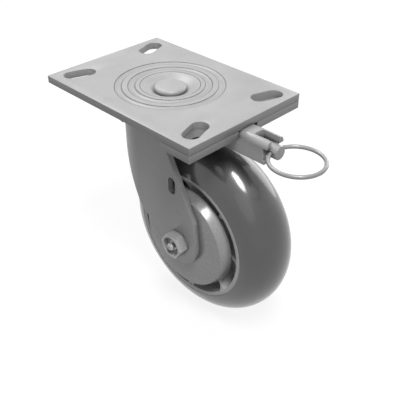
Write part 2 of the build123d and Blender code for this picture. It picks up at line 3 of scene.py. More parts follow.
import bpy
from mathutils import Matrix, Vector


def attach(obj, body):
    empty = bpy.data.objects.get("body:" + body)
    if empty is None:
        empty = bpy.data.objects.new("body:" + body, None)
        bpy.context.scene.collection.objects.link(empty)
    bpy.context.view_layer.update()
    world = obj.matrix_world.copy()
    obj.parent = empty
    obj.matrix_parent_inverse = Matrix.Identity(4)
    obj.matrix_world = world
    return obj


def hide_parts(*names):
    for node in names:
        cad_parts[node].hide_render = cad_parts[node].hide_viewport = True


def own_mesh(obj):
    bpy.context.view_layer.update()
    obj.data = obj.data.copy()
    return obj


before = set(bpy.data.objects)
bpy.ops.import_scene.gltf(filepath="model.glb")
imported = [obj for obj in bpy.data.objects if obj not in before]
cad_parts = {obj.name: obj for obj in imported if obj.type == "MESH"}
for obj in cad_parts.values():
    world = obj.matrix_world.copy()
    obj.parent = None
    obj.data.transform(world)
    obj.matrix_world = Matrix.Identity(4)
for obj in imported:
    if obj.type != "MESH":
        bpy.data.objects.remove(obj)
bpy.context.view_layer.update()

# Studio: a matt pale floor under the wheel, a long soft lamp overhead, a round one beyond
# the plate, wide weak ones in front and behind and a dim room. The floor and the room look
# white to the camera and in reflections, and the floor keeps the castor's shadow.
MM = 0.001
FLOOR_Z = -184.15 * MM


def seen_directly(tree):
    """Gives 1 to camera, glossy and transmission rays, and 0 to rays that only carry light."""
    light_path = tree.nodes.new("ShaderNodeLightPath")
    either = tree.nodes.new("ShaderNodeMath")
    either.operation = "ADD"
    tree.links.new(light_path.outputs["Is Camera Ray"], either.inputs[0])
    tree.links.new(light_path.outputs["Is Glossy Ray"], either.inputs[1])
    seen = tree.nodes.new("ShaderNodeMath")
    seen.operation = "ADD"
    seen.use_clamp = True
    tree.links.new(either.outputs[0], seen.inputs[0])
    tree.links.new(light_path.outputs["Is Transmission Ray"], seen.inputs[1])
    return seen.outputs[0]


room = bpy.data.worlds.new("pale_room")
bpy.context.scene.world = room
room.use_nodes = True
tree = room.node_tree
room_light = tree.nodes["Background"]
room_light.inputs["Color"].default_value = (1, 1, 1, 1)
room_light.inputs["Strength"].default_value = 0.1
room_white = tree.nodes.new("ShaderNodeBackground")
room_white.inputs["Color"].default_value = (1, 1, 1, 1)
room_mix = tree.nodes.new("ShaderNodeMixShader")
tree.links.new(seen_directly(tree), room_mix.inputs[0])
tree.links.new(room_light.outputs[0], room_mix.inputs[1])
tree.links.new(room_white.outputs[0], room_mix.inputs[2])
tree.links.new(room_mix.outputs[0], tree.nodes["World Output"].inputs["Surface"])

bpy.ops.object.select_all(action="DESELECT")
bpy.ops.mesh.primitive_plane_add(size=6, location=(0, 0, FLOOR_Z))
floor = bpy.context.object
floor.name = "studio_floor"
floor_paint = bpy.data.materials.new("studio_floor")
floor_paint.use_nodes = True
tree = floor_paint.node_tree
floor_matt = tree.nodes["Principled BSDF"]
floor_matt.inputs["Base Color"].default_value = (0.2, 0.2, 0.2, 1)
floor_matt.inputs["Roughness"].default_value = 1.0
floor_matt.inputs["Specular IOR Level"].default_value = 0.0
floor_matt.inputs["Emission Color"].default_value = (1, 1, 1, 1)
floor_reach = tree.nodes.new("ShaderNodeVectorMath")
floor_reach.operation = "LENGTH"
tree.links.new(tree.nodes.new("ShaderNodeTexCoord").outputs["Object"], floor_reach.inputs[0])
floor_fade = tree.nodes.new("ShaderNodeMapRange")
floor_fade.inputs["From Min"].default_value = 0.4
floor_fade.inputs["From Max"].default_value = 1.6
floor_fade.inputs["To Min"].default_value = 0.86
floor_fade.inputs["To Max"].default_value = 1.0
tree.links.new(floor_reach.outputs["Value"], floor_fade.inputs["Value"])
floor_top_up = tree.nodes.new("ShaderNodeMath")
floor_top_up.operation = "MULTIPLY"
tree.links.new(floor_fade.outputs[0], floor_top_up.inputs[1])
tree.links.new(seen_directly(tree), floor_top_up.inputs[0])
tree.links.new(floor_top_up.outputs[0], floor_matt.inputs["Emission Strength"])
floor.data.materials.append(floor_paint)

for lamp_name, lamp_size, lamp_watts, lamp_place in (
        ("overhead_softbox", (0.28, 0.54), 8.2, (0.44, -0.23, 0.95)),
        ("window_softbox", (0.5, 0.5), 5.0, (-0.6, 0.08, 0.84)),
        ("front_softbox", (0.7, 0.7), 0.5, (0.7, -0.75, 0.45)),
        ("back_softbox", (0.8, 0.8), 3.4, (0.0, 1.0, 0.2))):
    lamp = bpy.data.lights.new(lamp_name, "AREA")
    lamp.shape = "ELLIPSE"
    lamp.size, lamp.size_y = lamp_size
    lamp.energy = lamp_watts
    lamp_stand = bpy.data.objects.new(lamp_name, lamp)
    lamp_stand.location = lamp_place
    aim = Vector((0.03, 0, -0.06)) - lamp_stand.location
    lamp_stand.rotation_euler = aim.to_track_quat("-Z", "Y").to_euler()
    bpy.context.collection.objects.link(lamp_stand)

lens = bpy.data.cameras.new("camera")
lens.lens = 57.47
lens.sensor_width = 36
camera = bpy.data.objects.new("camera", lens)
camera.location = (0.33255, -0.30054, 0.20851)
camera.rotation_euler = (radians(90 - 35.264), 0, radians(45))
bpy.context.collection.objects.link(camera)
bpy.context.scene.camera = camera
bpy.context.scene.view_settings.view_transform = "Standard"

# Top plate: hot-rolled steel bar, zinc plated, with the raceway's ring grooves and the
# kingpin's dish pressed in from above and four bolt slots punched through at an angle.
PLATE = (158.75, 114.3, 6.0)
SLOT_INNER = (62.71, 30.96)
SLOT_OUTER = (66.675, 42.86)
SLOT_RADIUS = 6.6
LAND = -0.04
KINGPIN_RADIUS = 7.94
UPPER_TRACK = (34.7, -10.4, 4.85)


def alone(piece):
    """Selects one piece and nothing else."""
    bpy.ops.object.select_all(action="DESELECT")
    piece.select_set(True)
    bpy.context.view_layer.objects.active = piece


def pick(piece, wanted, kind="VERT"):
    """In edit mode, selects the vertices, edges or faces whose middle, in mm, is wanted."""
    bpy.ops.mesh.select_mode(type="VERT")
    bpy.ops.mesh.select_all(action="DESELECT")
    bpy.ops.mesh.select_mode(type=kind)
    bpy.ops.object.mode_set(mode="OBJECT")
    mesh = piece.data
    found = 0
    if kind == "VERT":
        for vertex in mesh.vertices:
            vertex.select = bool(wanted(vertex.co / MM))
            found += vertex.select
    if kind == "EDGE":
        for edge in mesh.edges:
            ends = [mesh.vertices[number].co / MM for number in edge.vertices]
            edge.select = bool(wanted(*ends))
            found += edge.select
    if kind == "FACE":
        for face in mesh.polygons:
            face.select = bool(wanted(face.center / MM, face.normal))
            found += face.select
    bpy.ops.object.mode_set(mode="EDIT")
    return found


def drawn(name, section, fill="NOTHING"):
    """Closed outline in the X-Z plane. A third number rounds a corner by that much."""
    bpy.ops.object.select_all(action="DESELECT")
    bpy.ops.mesh.primitive_circle_add(vertices=len(section), radius=0.01, fill_type=fill)
    piece = bpy.context.object
    piece.name = name
    for vertex, point in zip(piece.data.vertices, section):
        vertex.co = (point[0] * MM, 0, point[1] * MM)
    bpy.ops.object.mode_set(mode="EDIT")
    for size in sorted({point[2] for point in section if len(point) > 2}, reverse=True):
        corners = [point for point in section if len(point) > 2 and point[2] == size]
        pick(piece, lambda co: any(abs(co.x - corner[0]) < 1e-4 and abs(co.z - corner[1]) < 1e-4
                                   for corner in corners))
        bpy.ops.mesh.bevel(offset=size * MM, segments=3 if size < 1.5 else 6, affect="VERTICES")
    return piece


def turned(name, section, steps=128, axis="Z", centre=(0, 0, 0)):
    """Turns a closed section of (radius, height) in mm once round an axis."""
    piece = drawn(name, section)
    bpy.ops.mesh.select_all(action="SELECT")
    bpy.ops.mesh.spin(steps=steps, angle=2 * pi, center=(0, 0, 0), axis=(0, 0, 1))
    bpy.ops.mesh.select_all(action="SELECT")
    bpy.ops.mesh.remove_doubles(threshold=1e-7)
    bpy.ops.mesh.delete_loose(use_verts=True, use_edges=True, use_faces=False)
    bpy.ops.mesh.select_all(action="SELECT")
    bpy.ops.mesh.normals_make_consistent(inside=False)
    bpy.ops.object.mode_set(mode="OBJECT")
    piece.rotation_euler = {"Z": (0, 0, 0), "Y": (radians(-90), 0, 0), "X": (0, radians(90), 0)}[axis]
    piece.location = [number * MM for number in centre]
    bpy.ops.object.transform_apply(location=True, rotation=True, scale=True)
    return piece


def hollow(low, high, depth, level):
    """Points of a round-bottomed groove between two radii, from the inner lip outwards."""
    half = (high - low) / 2
    bend = (half * half + depth * depth) / (2 * depth)
    reach = acos((bend - depth) / bend)
    points = []
    for step in range(9):
        lean = -reach + 2 * reach * step / 8
        points.append((low + half + bend * sin(lean), level - (bend * cos(lean) - bend + depth)))
    return points


def block(name, low, high):
    """Rectangular block between two corners in mm."""
    bpy.ops.object.select_all(action="DESELECT")
    middle = [(a + b) / 2 * MM for a, b in zip(low, high)]
    size = [(b - a) * MM for a, b in zip(low, high)]
    bpy.ops.mesh.primitive_cube_add(size=1, location=middle, scale=size)
    bpy.ops.object.transform_apply(location=True, rotation=True, scale=True)
    piece = bpy.context.object
    piece.name = name
    return piece


def join_or_cut(piece, tool, how="DIFFERENCE"):
    """Cuts a tool from a piece, joins it on, or keeps only what both share."""
    alone(piece)
    change = piece.modifiers.new(how, "BOOLEAN")
    change.operation = how
    change.solver = "EXACT"
    change.object = tool
    bpy.ops.object.modifier_apply(modifier=change.name)
    bpy.data.objects.remove(tool, do_unlink=True)


def soften(piece, size, angle=35, segments=2):
    """Rounds every sharp edge of a piece."""
    alone(piece)
    change = piece.modifiers.new("edges", "BEVEL")
    change.width = size * MM
    change.segments = segments
    change.limit_method = "ANGLE"
    change.angle_limit = radians(angle)
    change.use_clamp_overlap = True
    change.harden_normals = False
    bpy.ops.object.modifier_apply(modifier=change.name)


def slot_tool(x, y, run, radius, low, high):
    """Prism with round ends, as long as the run, to punch a bolt slot."""
    bpy.ops.object.select_all(action="DESELECT")
    bpy.ops.mesh.primitive_cylinder_add(vertices=48, radius=radius * MM, depth=(high - low) * MM,
                                        location=(x * MM, y * MM, (low + high) / 2 * MM))
    bpy.ops.object.transform_apply(location=True, rotation=True, scale=True)
    tool = bpy.context.object
    bpy.ops.object.mode_set(mode="EDIT")
    pick(tool, lambda co: (co.x - x) * run[0] + (co.y - y) * run[1] > 0.001)
    bpy.ops.transform.translate(value=(run[0] * MM, run[1] * MM, 0))
    bpy.ops.object.mode_set(mode="OBJECT")
    return tool


def finish(piece, node, body, material, smooth=32):
    """Shades a piece smooth, gives it its finish and puts it in its CAD node's place."""
    alone(piece)
    bpy.ops.object.shade_smooth_by_angle(angle=radians(smooth))
    piece.data.materials.clear()
    piece.data.materials.append(material)
    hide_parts(*node.split())
    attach(piece, body)


def noise(tree, place, size, detail=3, stretch=(1, 1, 1)):
    """Noise with features of a size in mm, drawn out along the axes where stretch is small."""
    lay = tree.nodes.new("ShaderNodeMapping")
    lay.inputs["Scale"].default_value = stretch
    tree.links.new(place, lay.inputs["Vector"])
    pattern = tree.nodes.new("ShaderNodeTexNoise")
    pattern.inputs["Scale"].default_value = 1000 / size
    pattern.inputs["Detail"].default_value = detail
    tree.links.new(lay.outputs[0], pattern.inputs["Vector"])
    return pattern.outputs["Fac"]


def remap(tree, value, low, high, new_low, new_high):
    """Maps a value's range to another, held at both ends."""
    change = tree.nodes.new("ShaderNodeMapRange")
    change.inputs["From Min"].default_value = low
    change.inputs["From Max"].default_value = high
    change.inputs["To Min"].default_value = new_low
    change.inputs["To Max"].default_value = new_high
    tree.links.new(value, change.inputs["Value"])
    return change.outputs[0]


def blend_in(tree, how, share, under, over):
    """Blends one colour or value over another. Share and over may be plain numbers."""
    mix = tree.nodes.new("ShaderNodeMixRGB")
    mix.blend_type = how
    for socket, given in ((mix.inputs[0], share), (mix.inputs[1], under), (mix.inputs[2], over)):
        if isinstance(given, bpy.types.NodeSocket):
            tree.links.new(given, socket)
        else:
            socket.default_value = given
    return mix.outputs[0]


def corner_masks(tree, width, reach):
    """A mask of sharp edges some mm wide, and an occlusion mask that paints shade into grooves and joints."""
    rounded = tree.nodes.new("ShaderNodeBevel")
    rounded.samples = 4
    rounded.inputs["Radius"].default_value = width * MM
    surface = tree.nodes.new("ShaderNodeNewGeometry")
    turn = tree.nodes.new("ShaderNodeVectorMath")
    turn.operation = "DOT_PRODUCT"
    tree.links.new(rounded.outputs[0], turn.inputs[0])
    tree.links.new(surface.outputs["Normal"], turn.inputs[1])
    edges = remap(tree, turn.outputs["Value"], 0.86, 0.995, 1, 0)
    # Painted shade: ambient occlusion, used to darken the colour in grooves, corners and joints.
    occlusion_shade = tree.nodes.new("ShaderNodeAmbientOcclusion")
    occlusion_shade.samples = 6
    occlusion_shade.inputs["Distance"].default_value = reach * MM
    return edges, occlusion_shade.outputs["AO"]


def ring_lip_shade(tree, place, radii, patches):
    """Thin dark lines round the upright axis, painted at a pressed ring's lips as crease shade."""
    flat = tree.nodes.new("ShaderNodeVectorMath")
    flat.operation = "MULTIPLY"
    flat.inputs[1].default_value = (1000, 1000, 0)
    tree.links.new(place, flat.inputs[0])
    reach = tree.nodes.new("ShaderNodeVectorMath")
    reach.operation = "LENGTH"
    tree.links.new(flat.outputs[0], reach.inputs[0])
    depth = remap(tree, patches, 0.3, 0.7, 0.25, 0.5)
    tone = None
    for radius in radii:
        off = tree.nodes.new("ShaderNodeMath")
        off.operation = "COMPARE"
        off.inputs[1].default_value = radius
        off.inputs[2].default_value = 0.36
        tree.links.new(reach.outputs["Value"], off.inputs[0])
        line = blend_in(tree, "MIX", off.outputs[0], (1, 1, 1, 1), depth)
        tone = line if tone is None else blend_in(tree, "DARKEN", 1, tone, line)
    return tone


def painted_side_shade(tree, place, half_length, half_width):
    """Painted shade: a darker tone on a plate's side faces, found by their distance from its middle."""
    share = tree.nodes.new("ShaderNodeVectorMath")
    share.operation = "MULTIPLY"
    share.inputs[1].default_value = (1 / (half_length * MM), 1 / (half_width * MM), 0)
    tree.links.new(place, share.inputs[0])
    either_side = tree.nodes.new("ShaderNodeVectorMath")
    either_side.operation = "ABSOLUTE"
    tree.links.new(share.outputs[0], either_side.inputs[0])
    parts = tree.nodes.new("ShaderNodeSeparateXYZ")
    tree.links.new(either_side.outputs[0], parts.inputs[0])
    nearest = tree.nodes.new("ShaderNodeMath")
    nearest.operation = "MAXIMUM"
    tree.links.new(parts.outputs["X"], nearest.inputs[0])
    tree.links.new(parts.outputs["Y"], nearest.inputs[1])
    return remap(tree, nearest.outputs[0], 0.9975, 0.999, 1, 0.7)


def bare_material(name):
    """A new material, its tree, its shader and its place on the object."""
    paint = bpy.data.materials.new(name)
    paint.use_nodes = True
    tree = paint.node_tree
    place = tree.nodes.new("ShaderNodeTexCoord").outputs["Object"]
    return paint, tree, tree.nodes["Principled BSDF"], place


def zinc_plating(name, grey, crystal=1.1, grain=(1, 1, 1), relief=0.02, gloss=(0.36, 0.48), metallic=0.1,
                 corner_shade=0.7, edge=0.4, open_from=0.35, rings=()):
    """Satin zinc: faint clouds and crystals, a grain that can run one way, rubbed edges lightened as wear and painted
    highlight, and painted shade in corners.
    """
    paint, tree, shader, place = bare_material(name)
    shader.inputs["Metallic"].default_value = metallic
    clouds = noise(tree, place, 34, 4)
    crystals = noise(tree, place, crystal, 2)
    lines = noise(tree, place, 0.5, 3, grain)
    tone = remap(tree, clouds, 0.3, 0.7, grey * 0.93, grey * 1.05)
    tone = blend_in(tree, "MULTIPLY", 0.22, tone, remap(tree, crystals, 0.32, 0.68, 0.6, 1))
    tone = blend_in(tree, "MULTIPLY", 0.16, tone, remap(tree, lines, 0.32, 0.68, 0.5, 1))
    edges, occlusion_shade = corner_masks(tree, edge, 3.0)
    # Wear and painted highlight: sharp edges are lightened in patches, as rubbed zinc and as the light a rounded edge
    # would catch.
    edge_wear_and_highlight = blend_in(tree, "MULTIPLY", 1, edges, remap(tree, crystals, 0.35, 0.6, 0.25, 0.6))
    tone = blend_in(tree, "MIX", edge_wear_and_highlight, tone, (min(1, grey * 1.4),) * 3 + (1,))
    # On the plate: painted crease shade along the ring lips and painted shade on the side faces.
    if rings:
        tone = blend_in(tree, "MULTIPLY", 1, tone, ring_lip_shade(tree, place, rings, crystals))
        tone = blend_in(tree, "MULTIPLY", 1, tone, painted_side_shade(tree, place, PLATE[0] / 2, PLATE[1] / 2))
    # Painted shade: ambient occlusion darkens the colour in grooves, corners and joints.
    tone = blend_in(tree, "MULTIPLY", corner_shade, tone, remap(tree, occlusion_shade, open_from, 0.97, 0.25, 1))
    tree.links.new(tone, shader.inputs["Base Color"])
    dullness = blend_in(tree, "MIX", 0.5, clouds, blend_in(tree, "MIX", 0.5, crystals, lines))
    tree.links.new(remap(tree, dullness, 0.35, 0.65, *gloss), shader.inputs["Roughness"])
    bump = tree.nodes.new("ShaderNodeBump")
    bump.inputs["Strength"].default_value = 0.6
    bump.inputs["Distance"].default_value = relief * MM
    tree.links.new(blend_in(tree, "MIX", 0.5, crystals, lines), bump.inputs["Height"])
    tree.links.new(bump.outputs[0], shader.inputs["Normal"])
    return paint


plate_zinc = zinc_plating("rolled_plate_zinc", 0.47, grain=(0.06, 1, 1), gloss=(0.38, 0.5), open_from=0.6,
                          rings=(23.2, 26.85, 32.25, 37.1, 42.45))
plate = block("mounting_plate", (-PLATE[0] / 2, -PLATE[1] / 2, -PLATE[2]), (PLATE[0] / 2, PLATE[1] / 2, 0))
bpy.ops.object.mode_set(mode="EDIT")
bpy.ops.mesh.select_all(action="SELECT")
bpy.ops.mesh.bevel(offset=0.45 * MM, segments=2, affect="EDGES")
bpy.ops.object.mode_set(mode="OBJECT")

ridges = [(6, -5), (6, -11.1), (13.3, -11.1, 1.5), (22.6, -6.2, 2.0)]
ridges += hollow(27.0, 32.1, 1.0, -6.06) + hollow(37.2, 42.3, 1.0, -6.06)
ridges += [(42.7, -5.8), (42.7, -5)]
join_or_cut(plate, turned("under_ridges", ridges, 160), "UNION")
pressing = [(0, 2), (43.3, 2), (43.3, 0.12)] + hollow(37.05, 42.5, 1.1, LAND)[::-1]
pressing += hollow(26.8, 32.3, 1.1, LAND)[::-1] + [(23.3, LAND, 0.3), (19.75, -0.9, 1.5)]
pressing += [(12.75, -4.66), (KINGPIN_RADIUS, -4.7), (KINGPIN_RADIUS, -14), (0, -14)]
join_or_cut(plate, turned("press_tool", pressing, 160))
bpy.ops.mesh.primitive_torus_add(major_radius=UPPER_TRACK[0] * MM, minor_radius=UPPER_TRACK[2] * MM,
                                 major_segments=160, minor_segments=48, location=(0, 0, UPPER_TRACK[1] * MM))
bpy.ops.object.transform_apply(location=True, rotation=True, scale=True)
join_or_cut(plate, bpy.context.object)
SLOT_RUN = (SLOT_OUTER[0] - SLOT_INNER[0], SLOT_OUTER[1] - SLOT_INNER[1])
for side_x in (1, -1):
    for side_y in (1, -1):
        run = (side_x * SLOT_RUN[0], side_y * SLOT_RUN[1])
        join_or_cut(plate, slot_tool(side_x * SLOT_INNER[0], side_y * SLOT_INNER[1], run, SLOT_RADIUS, -9, 3))
alone(plate)
bpy.ops.object.mode_set(mode="EDIT")
pick(plate, lambda a, b: abs(a.z - b.z) < 1e-3 and (abs(a.z) < 1e-3 or abs(a.z + 6) < 1e-3)
     and 52 < min(abs(a.x), abs(b.x)) and max(abs(a.x), abs(b.x)) < 76
     and 22 < min(abs(a.y), abs(b.y)) and max(abs(a.y), abs(b.y)) < 52
     and any((abs(v.x) - SLOT_INNER[0]) ** 2 + (abs(v.y) - SLOT_INNER[1]) ** 2 < 6.62 ** 2
             or (abs(v.x) - SLOT_OUTER[0]) ** 2 + (abs(v.y) - SLOT_OUTER[1]) ** 2 < 6.62 ** 2
             for v in (a, b)), "EDGE")
bpy.ops.mesh.bevel(offset=0.35 * MM, segments=2, affect="EDGES")
bpy.ops.object.mode_set(mode="OBJECT")
finish(plate, "top_plate", "plate", plate_zinc)

# Kingpin: forged steel pin with a low round-edged head in the dish, its shank going down
# through the plate and the fork's crown to a nut.
pin_zinc = zinc_plating("kingpin_zinc", 0.48, crystal=0.7, relief=0.01, gloss=(0.38, 0.5), metallic=0.12)
kingpin = turned("kingpin_forging", [(0, -0.45), (9.0, -0.55), (12.56, -0.75, 2.1), (12.56, -4.64, 0.3),
                                     (KINGPIN_RADIUS, -4.66), (KINGPIN_RADIUS, -34, 1.0), (0, -34)], 96)
finish(kingpin, "kingpin", "plate", pin_zinc)

# Lock plate: a short plate of the same bar under the ring end, notched for the lock's
# housing and grooved below for the pin. The bolts clamp it with the top plate.
half_plate = block("lock_end_plate", (51.5, -PLATE[1] / 2, -12.0), (PLATE[0] / 2, PLATE[1] / 2, -6.02))
bpy.ops.object.mode_set(mode="EDIT")
bpy.ops.mesh.select_all(action="SELECT")
bpy.ops.mesh.bevel(offset=0.45 * MM, segments=2, affect="EDGES")
bpy.ops.object.mode_set(mode="OBJECT")
notch = block("notch", (62, -10, -14), (90, 10, -4))
bpy.ops.object.mode_set(mode="EDIT")
pick(notch, lambda a, b: abs(a.x - 62) < 0.01 and abs(b.x - 62) < 0.01 and abs(a.y - b.y) < 0.01, "EDGE")
bpy.ops.mesh.bevel(offset=1.5 * MM, segments=4, affect="EDGES")
bpy.ops.object.mode_set(mode="OBJECT")
join_or_cut(half_plate, notch)
PIN_Z = -15.1
join_or_cut(half_plate, turned("pin_relief", [(0, 45), (5.6, 45), (5.6, 70), (0, 70)], 48, "X", (0, 0, PIN_Z)))
for side_y in (1, -1):
    run = (SLOT_RUN[0], side_y * SLOT_RUN[1])
    join_or_cut(half_plate, slot_tool(SLOT_INNER[0], side_y * SLOT_INNER[1], run, SLOT_RADIUS, -15, -3))
finish(half_plate, "lock_plate", "plate", plate_zinc)

# Fork: a steel forging, zinc plated. Two flat legs join in a half-round front, flare out
# under a round crown that carries the ball tracks, and narrow to round feet at the axle.
LEAD = 44.45
AXLE_Z = -107.95
FORK_RADIUS = 36.2
FORK_INSIDE = 31.7
CROWN_TOP = -12.5
CROWN_BOTTOM = -18.3
CROWN_RADIUS = 44.5
FLARE = 6.6


def walls(name, radius, low, high):
    """Upright prism, half round in front and straight towards the wheel's trailing side."""
    bpy.ops.object.select_all(action="DESELECT")
    bpy.ops.mesh.primitive_cylinder_add(vertices=160, radius=radius * MM, depth=(high - low) * MM,
                                        location=(0, 0, (low + high) / 2 * MM))
    bpy.ops.object.transform_apply(location=True, rotation=True, scale=True)
    piece = bpy.context.object
    piece.name = name
    bpy.ops.object.mode_set(mode="EDIT")
    pick(piece, lambda co: co.x > 0.01)
    bpy.ops.transform.translate(value=(80 * MM, 0, 0))
    return piece


fork = walls("fork_forging", FORK_RADIUS, -130, CROWN_BOTTOM)
bpy.ops.object.mode_set(mode="OBJECT")
flare = walls("fork_flare", FORK_RADIUS, -26, CROWN_BOTTOM - FLARE)
spread = 0
level = CROWN_BOTTOM - FLARE
for step in range(1, 8):
    lean = radians(90 * step / 7)
    new_spread = FLARE * (1 - cos(lean))
    new_level = CROWN_BOTTOM - FLARE + FLARE * sin(lean) + (0.3 if step == 7 else 0)
    pick(flare, lambda centre, normal: normal.z > 0.9, "FACE")
    bpy.ops.mesh.extrude_region()
    bpy.ops.transform.translate(value=(0, 0, (new_level - level) * MM))
    grow = (FORK_RADIUS + new_spread) / (FORK_RADIUS + spread)
    bpy.ops.transform.resize(value=(1, grow, 1), center_override=(0, 0, new_level * MM))
    pick(flare, lambda co: co.x < 0.01 and abs(co.z - new_level) < 0.001)
    bpy.ops.transform.resize(value=(grow, 1, 1), center_override=(0, 0, new_level * MM))
    spread = new_spread
    level = new_level
bpy.ops.object.mode_set(mode="OBJECT")
join_or_cut(flare, turned("flare_limit", [(0, -30), (CROWN_RADIUS - 0.3, -30), (CROWN_RADIUS - 0.3, -10), (0, -10)], 160),
            "INTERSECT")
join_or_cut(fork, flare, "UNION")

foot = [(LEAD + 19.05 * cos(radians(lean)), AXLE_Z + 19.05 * sin(radians(lean)))
        for lean in [201 + 9.11 * step for step in range(19)]]
side = drawn("fork_side", [(61.4, -83.0, 0.8), (25.93, -15.9), (-37.5, -15.9), (0.0, -91.6, 1.2)] + foot, "NGON")
bpy.ops.mesh.select_all(action="SELECT")
bpy.ops.transform.translate(value=(0, -50 * MM, 0))
bpy.ops.mesh.extrude_region()
bpy.ops.transform.translate(value=(0, 100 * MM, 0))
bpy.ops.mesh.select_all(action="SELECT")
bpy.ops.mesh.normals_make_consistent(inside=False)
bpy.ops.object.mode_set(mode="OBJECT")
join_or_cut(fork, side, "INTERSECT")

INSIDE_TOP = CROWN_BOTTOM + 0.4
inside = walls("fork_inside", FORK_INSIDE, -150, INSIDE_TOP)
pick(inside, lambda a, b: abs(a.z - INSIDE_TOP) < 0.01 and abs(b.z - INSIDE_TOP) < 0.01, "EDGE")
bpy.ops.mesh.bevel(offset=4.0 * MM, segments=6, affect="EDGES")
bpy.ops.object.mode_set(mode="OBJECT")
join_or_cut(fork, inside)
soften(fork, 0.35, 50)
crown = turned("fork_crown", [(10, CROWN_TOP, 0.6), (CROWN_RADIUS, CROWN_TOP, 0.8), (CROWN_RADIUS, CROWN_BOTTOM, 0.8),
                              (10, CROWN_BOTTOM, 0.6)], 160)
for quarter in range(4):
    notch = block("lock_notch", (39.8, -5.3, -25), (50, 5.3, -5))
    bpy.ops.object.mode_set(mode="EDIT")
    bpy.ops.mesh.select_all(action="SELECT")
    bpy.ops.transform.rotate(value=quarter * pi / 2, orient_axis="Z", center_override=(0, 0, 0))
    bpy.ops.object.mode_set(mode="OBJECT")
    join_or_cut(crown, notch)
join_or_cut(fork, crown, "UNION")
for major, height, minor in ((34.7, -10.4, 4.7625), (20.0, -20.18, 2.78)):
    bpy.ops.object.select_all(action="DESELECT")
    bpy.ops.mesh.primitive_torus_add(major_radius=major * MM, minor_radius=minor * MM, major_segments=160,
                                     minor_segments=36, location=(0, 0, height * MM))
    bpy.ops.object.transform_apply(location=True, rotation=True, scale=True)
    join_or_cut(fork, bpy.context.object)
join_or_cut(fork, turned("axle_hole", [(0, -60), (6.45, -60), (6.45, 60), (0, 60)], 64, "Y", (LEAD, 0, AXLE_Z)))
for side_y in (-1, 1):
    bpy.ops.object.select_all(action="DESELECT")
    bpy.ops.mesh.primitive_cylinder_add(vertices=48, radius=3.8 * MM, depth=14 * MM,
                                        location=(38.2 * MM, side_y * 34 * MM, -61.6 * MM),
                                        rotation=(radians(90), 0, 0))
    bpy.ops.object.transform_apply(location=True, rotation=True, scale=True)
    leg_slot = bpy.context.object
    bpy.ops.object.mode_set(mode="EDIT")
    pick(leg_slot, lambda co: co.z > -61.6 + 0.001)
    bpy.ops.transform.translate(value=(0, 0, 6.8 * MM))
    bpy.ops.object.mode_set(mode="OBJECT")
    join_or_cut(fork, leg_slot)
fork_zinc = zinc_plating("forged_fork_zinc", 0.47, crystal=1.6, relief=0.06, gloss=(0.28, 0.5))
finish(fork, "fork", "fork", fork_zinc)

# Thread guards: two shallow dishes pressed from 1.6 mm sheet, zinc plated, that the axle
# clamps between the legs and the wheel's hub to keep string out of the bearings.
guard_zinc = zinc_plating("pressed_guard_zinc", 0.44, crystal=0.5, relief=0.006, gloss=(0.22, 0.32), metallic=0.15)
for side_y, side_name in ((-1, "near"), (1, "far")):
    dish = turned("guard_dish_" + side_name,
                  [(8.6, side_y * 31.66, 0.2), (40.7, side_y * 31.66, 0.7), (43.3, side_y * 23.9, 0.5),
                   (43.6, side_y * 22.3, 0.3), (42.0, side_y * 22.3, 0.3), (41.7, side_y * 23.9, 0.6),
                   (38.9, side_y * 30.1, 1.0), (8.6, side_y * 30.1, 0.2)], 160, "Y", (LEAD, 0, AXLE_Z))
    finish(dish, "guard_" + side_name, "fork", guard_zinc)

# Wheel core: cast and machined, with a rim, a web, a barrel for the bearings and thin ribs
# that widen where they meet the rim.
core = turned("core_casting", [
    (20.0, -21.6, 0.6), (20.0, -10.0), (16.5, -10.0, 0.4), (16.5, 10.0, 0.4), (20.0, 10.0), (20.0, 21.6, 0.6),
    (31.0, 21.6, 0.6), (30.2, 7.2, 2.5), (50.2, 6.8, 3.0), (50.8, 25.18, 0.3), (54.1, 25.18, 0.2), (54.1, 6.0),
    (58.0, 6.0), (58.0, -6.0), (54.1, -6.0), (54.1, -25.18, 0.2), (50.8, -25.18, 0.3), (50.2, -6.8, 3.0),
    (30.2, -7.2, 2.5), (31.0, -21.6, 0.6)], 160, "Y", (LEAD, 0, AXLE_Z))
RIB_RUN = ((29.5, 2.6, 21.2), (31.3, 2.1, 21.3), (33.5, 1.65, 21.45), (40.0, 1.5, 21.6), (43.5, 1.5, 21.8),
           (46.5, 1.6, 22.6), (48.6, 2.1, 23.7), (50.0, 3.0, 24.5), (51.4, 4.6, 24.9))
for number in range(8):
    lean = radians(2 + 45 * number)
    radius, half, front = RIB_RUN[0]
    rib = block("rib", (radius - 0.5, -half, -front), (radius, half, front))
    bpy.ops.object.mode_set(mode="EDIT")
    for next_radius, next_half, next_front in RIB_RUN[1:]:
        pick(rib, lambda centre, normal: normal.x > 0.9 and centre.x > radius - 0.01, "FACE")
        bpy.ops.mesh.extrude_region()
        bpy.ops.transform.translate(value=((next_radius - radius) * MM, 0, 0))
        bpy.ops.transform.resize(value=(1, next_half / half, next_front / front),
                                 center_override=(next_radius * MM, 0, 0))
        radius, half, front = next_radius, next_half, next_front
    bpy.ops.object.mode_set(mode="OBJECT")
    rib.rotation_euler = (radians(-90), 0, 0)
    bpy.ops.object.transform_apply(location=True, rotation=True, scale=True)
    rib.rotation_euler = (0, -lean, 0)
    rib.location = (LEAD * MM, 0, AXLE_Z * MM)
    bpy.ops.object.transform_apply(location=True, rotation=True, scale=True)
    join_or_cut(core, rib, "UNION")
core_metal = zinc_plating("cast_core_metal", 0.64, crystal=1.0, relief=0.05, gloss=(0.28, 0.48), corner_shade=0.15)
finish(core, "wheel_core", "wheel", core_metal, 28)

